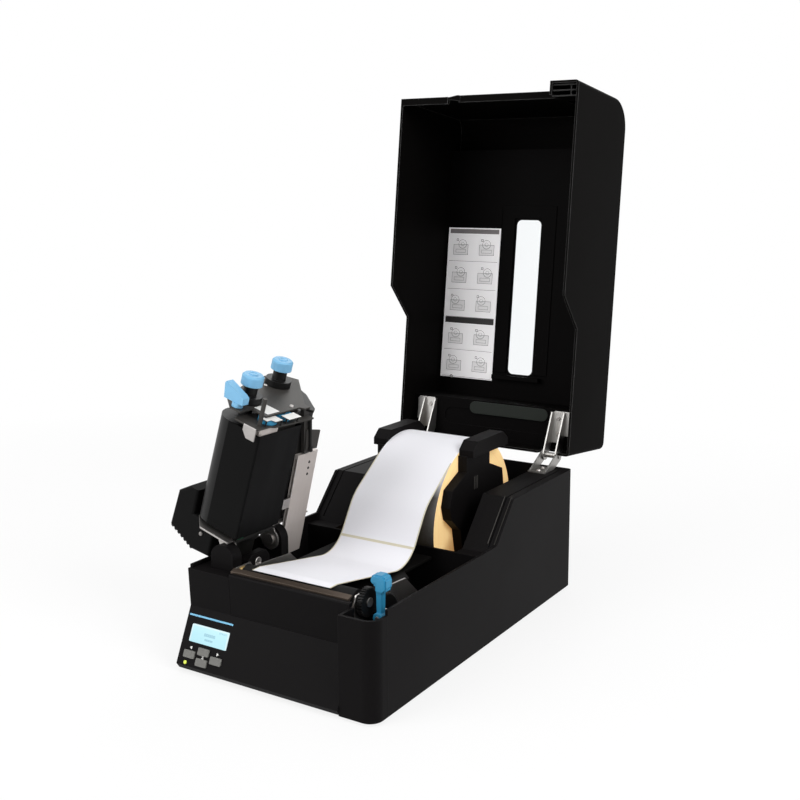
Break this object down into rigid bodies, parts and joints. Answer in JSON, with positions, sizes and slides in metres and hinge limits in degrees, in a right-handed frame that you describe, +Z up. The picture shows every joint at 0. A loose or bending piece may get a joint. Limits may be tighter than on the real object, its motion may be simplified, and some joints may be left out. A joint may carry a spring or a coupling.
{
  "type": "label printer",
  "caption": "Desktop thermal-transfer label printer shown open: hinged lid, swing-up ribbon head, label roll on sliding holders, platen, tear bar and sloped key panel.",
  "frame": {"origin": "centre of the underside of the front left foot, at table level", "axes": "+X to the printer's right, +Y to its rear, +Z up"},
  "size_m": [0.2591, 0.5048, 0.5299],
  "materials": {
    "black_plastic": "satin",
    "steel": "satin",
    "dark_steel": "satin",
    "head_metal": "satin",
    "bush_brass": "satin",
    "platen_rubber": "matte",
    "blue_plastic": "gloss",
    "key_plastic": "matte",
    "display": "gloss",
    "accent": "gloss",
    "lamp": "gloss",
    "circuit": "satin",
    "label_paper": "matte",
    "core_card": "matte",
    "ribbon": "satin",
    "guide_card": "matte",
    "clear_window": "gloss"
  },
  "bodies": {
    "case": {"base_housing": "black_plastic", "front_cover": "black_plastic", "outlet_bezel": "black_plastic", "bottom_plate": "dark_steel", "rubber_feet": "platen_rubber", "display_window": "display", "accent_strip": "accent", "status_lamp": "lamp", "panel_board": "circuit", "main_board": "circuit", "power_inlet": "black_plastic", "left_frame": "steel", "right_frame": "steel", "media_deck": "black_plastic", "tear_bar": "steel", "platen_bushes": "bush_brass", "feed_motor": "dark_steel", "holder_rails": "steel", "label_web": "label_paper", "head_pivot_block": "black_plastic", "head_pivot_pins": "steel", "hinge_brackets": "steel"},
    "platen": {"platen_roller": "platen_rubber", "platen_shaft": "steel", "platen_gear": "black_plastic"},
    "idler": {"idler_gear": "black_plastic"},
    "motor_rotor": {"motor_gear": "black_plastic"},
    "label_stock": {"label_roll": "label_paper", "roll_core": "core_card"},
    "holder_right": {"media_holder_right": "black_plastic"},
    "holder_left": {"media_holder_left": "black_plastic"},
    "key_up_cap": {"key_up": "key_plastic"},
    "key_left_cap": {"key_left": "key_plastic"},
    "key_right_cap": {"key_right": "key_plastic"},
    "key_down_cap": {"key_down": "key_plastic"},
    "rocker": {"power_rocker": "black_plastic"},
    "latch": {"latch_lever": "blue_plastic"},
    "lid": {"lid_shell": "black_plastic", "lid_liner": "black_plastic", "lid_window": "clear_window", "guide_plate": "guide_card", "lid_hinge_leaves": "steel"},
    "head": {"head_end_plate": "dark_steel", "head_side_plate": "dark_steel", "head_bridge": "dark_steel", "print_head": "head_metal", "ribbon_film": "ribbon", "gear_cover": "black_plastic", "ribbon_motor": "dark_steel", "sensor_arm": "steel"},
    "supply": {"supply_spindle": "black_plastic", "supply_ribbon": "ribbon", "supply_knob": "blue_plastic"},
    "takeup": {"takeup_spindle": "black_plastic", "takeup_ribbon": "ribbon", "takeup_knob": "blue_plastic"},
    "dial_front": {"pressure_dial_front": "blue_plastic"},
    "dial_rear": {"pressure_dial_rear": "blue_plastic"},
    "lever": {"head_lever": "blue_plastic"},
    "sensor": {"sensor_block": "steel"}
  },
  "joints": [
    {"name": "lid_hinge", "type": "hinge", "parent": "case", "child": "lid", "pos_m": [0.085, 0.3515, 0.141], "axis": [1, 0, 0], "range_deg": [0, 96.5]},
    {"name": "head_swing", "type": "hinge", "parent": "case", "child": "head", "pos_m": [0.01, 0.0635, 0.1], "axis": [0, 1, 0], "range_deg": [0, 73]},
    {"name": "platen_spin", "type": "hinge", "parent": "case", "child": "platen", "pos_m": [0.085, 0.0155, 0.0865], "axis": [1, 0, 0], "continuous": true},
    {"name": "idler_spin", "type": "hinge", "parent": "case", "child": "idler", "pos_m": [0.1565, 0.03965, 0.06551], "axis": [1, 0, 0], "continuous": true},
    {"name": "motor_spin", "type": "hinge", "parent": "case", "child": "motor_rotor", "pos_m": [0.1565, 0.05927, 0.04845], "axis": [1, 0, 0], "continuous": true},
    {"name": "roll_spin", "type": "hinge", "parent": "case", "child": "label_stock", "pos_m": [0.085, 0.2505, 0.0935], "axis": [1, 0, 0], "continuous": true},
    {"name": "holder_slide", "type": "slide", "parent": "case", "child": "holder_right", "axis": [1, 0, 0], "range_m": [0, 0.017]},
    {"name": "holder_follow", "type": "slide", "parent": "case", "child": "holder_left", "axis": [1, 0, 0], "range_m": [-0.017, 0]},
    {"name": "key_up_press", "type": "slide", "parent": "case", "child": "key_up_cap", "axis": [0, 0.9166, -0.3998], "range_m": [0, 0.0009], "stiffness_N_per_m": 400},
    {"name": "key_left_press", "type": "slide", "parent": "case", "child": "key_left_cap", "axis": [0, 0.9166, -0.3998], "range_m": [0, 0.0009], "stiffness_N_per_m": 400},
    {"name": "key_right_press", "type": "slide", "parent": "case", "child": "key_right_cap", "axis": [0, 0.9166, -0.3998], "range_m": [0, 0.0009], "stiffness_N_per_m": 400},
    {"name": "key_down_press", "type": "slide", "parent": "case", "child": "key_down_cap", "axis": [0, 0.9166, -0.3998], "range_m": [0, 0.0009], "stiffness_N_per_m": 400},
    {"name": "rocker_tilt", "type": "hinge", "parent": "case", "child": "rocker", "pos_m": [0.1725, 0.3505, 0.07], "axis": [1, 0, 0], "range_deg": [0, 15]},
    {"name": "latch_pivot", "type": "hinge", "parent": "case", "child": "latch", "pos_m": [0.17, 0.016, 0.076], "axis": [0, 1, 0], "range_deg": [-4, 12], "stiffness_Nm_per_rad": 0.6},
    {"name": "supply_spin", "type": "hinge", "parent": "head", "child": "supply", "pos_m": [-0.01206, 0.0915, 0.18517], "axis": [0.2924, 0, 0.9563], "continuous": true},
    {"name": "takeup_spin", "type": "hinge", "parent": "head", "child": "takeup", "pos_m": [0.00133, 0.0335, 0.18108], "axis": [0.2924, 0, 0.9563], "continuous": true},
    {"name": "dial_front_turn", "type": "hinge", "parent": "head", "child": "dial_front", "pos_m": [0.04404, 0.0295, 0.22501], "axis": [0.2924, 0, 0.9563], "range_deg": [-80, 80]},
    {"name": "dial_rear_turn", "type": "hinge", "parent": "head", "child": "dial_rear", "pos_m": [0.04404, 0.0495, 0.22501], "axis": [0.2924, 0, 0.9563], "range_deg": [-80, 80]},
    {"name": "lever_turn", "type": "hinge", "parent": "head", "child": "lever", "pos_m": [0.02511, 0.0135, 0.24178], "axis": [0.2924, 0, 0.9563], "range_deg": [0, 30]},
    {"name": "sensor_slide", "type": "slide", "parent": "head", "child": "sensor", "axis": [0.2334, 0, 0.9724], "range_m": [-0.015, 0.032]}
  ],
  "couplings": [
    {"joint": "head_swing", "follows": "lid_hinge", "ratio": 0.75648},
    {"joint": "idler_spin", "follows": "platen_spin", "ratio": -0.6},
    {"joint": "motor_spin", "follows": "platen_spin", "ratio": 2},
    {"joint": "holder_follow", "follows": "holder_slide", "ratio": -1}
  ]
}
